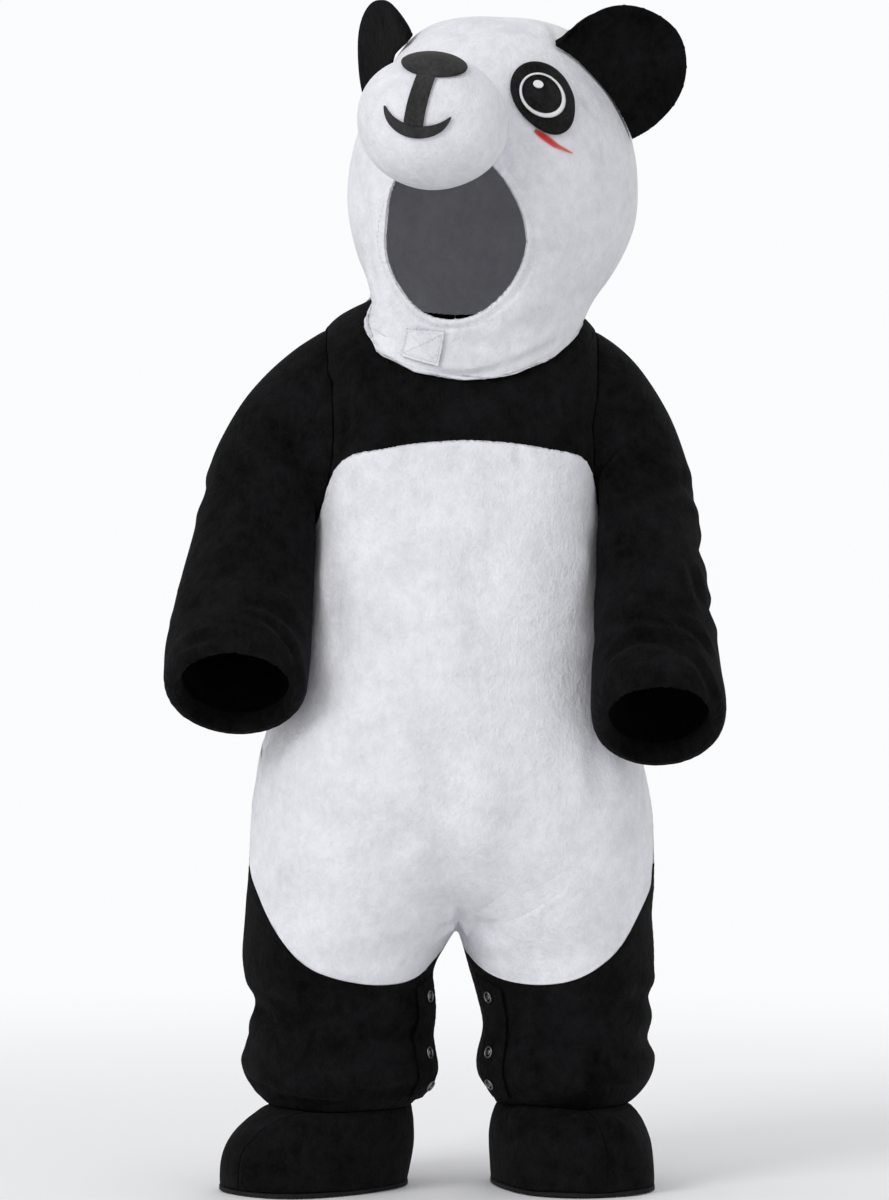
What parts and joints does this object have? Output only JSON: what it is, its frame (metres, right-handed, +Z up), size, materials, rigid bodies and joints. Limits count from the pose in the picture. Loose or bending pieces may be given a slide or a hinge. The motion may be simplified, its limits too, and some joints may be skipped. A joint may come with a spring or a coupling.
{
  "type": "baby panda costume",
  "caption": "Plush baby suit with closed feet, long sleeves and a hooded panda head, hollow and held as it is worn.",
  "frame": {"origin": "centre of the neck, where the wearer's neck and shoulders carry the suit, 560 mm above the underside of the soles", "axes": "+Z up the wearer's body, +X towards the viewer's right, -Y the way the front faces"},
  "size_m": [0.3603, 0.2719, 0.7848],
  "materials": {
    "plush_white": "short white plush, soft nap",
    "plush_black": "short black plush, soft nap",
    "felt_dark": "dark grey felt, matte",
    "thread_white": "white satin stitching",
    "snap_metal": "dark nickel ring snaps"
  },
  "bodies": {
    "root": {"back_body_left": "plush_white", "back_body_right": "plush_white", "back_yoke_left": "plush_black", "back_yoke_right": "plush_black", "bootie_inner_left": "plush_black", "bootie_inner_right": "plush_black", "bootie_outer_left": "plush_black", "bootie_outer_right": "plush_black", "chin_tab": "plush_white", "ear_left": "plush_black", "ear_right": "plush_black", "eye_glint_left": "thread_white", "eye_glint_right": "thread_white", "eye_patch_left": "plush_black", "eye_patch_right": "plush_black", "eye_ring_left": "thread_white", "eye_ring_right": "thread_white", "front_body": "plush_white", "front_yoke": "plush_black", "hood_back": "plush_white", "hood_front": "plush_white", "inseam_facing_left": "plush_black", "inseam_facing_right": "plush_black", "leg_back_left": "plush_black", "leg_back_right": "plush_black", "leg_front_left": "plush_black", "leg_front_right": "plush_black", "mouth": "felt_dark", "muzzle": "plush_white", "nose": "felt_dark", "nose_line": "felt_dark", "sleeve_left": "plush_black", "sleeve_right": "plush_black", "snap_left_1": "snap_metal", "snap_left_2": "snap_metal", "snap_left_3": "snap_metal", "snap_right_1": "snap_metal", "snap_right_2": "snap_metal", "snap_right_3": "snap_metal", "sole_left": "plush_black", "sole_right": "plush_black"}
  },
  "joints": []
}
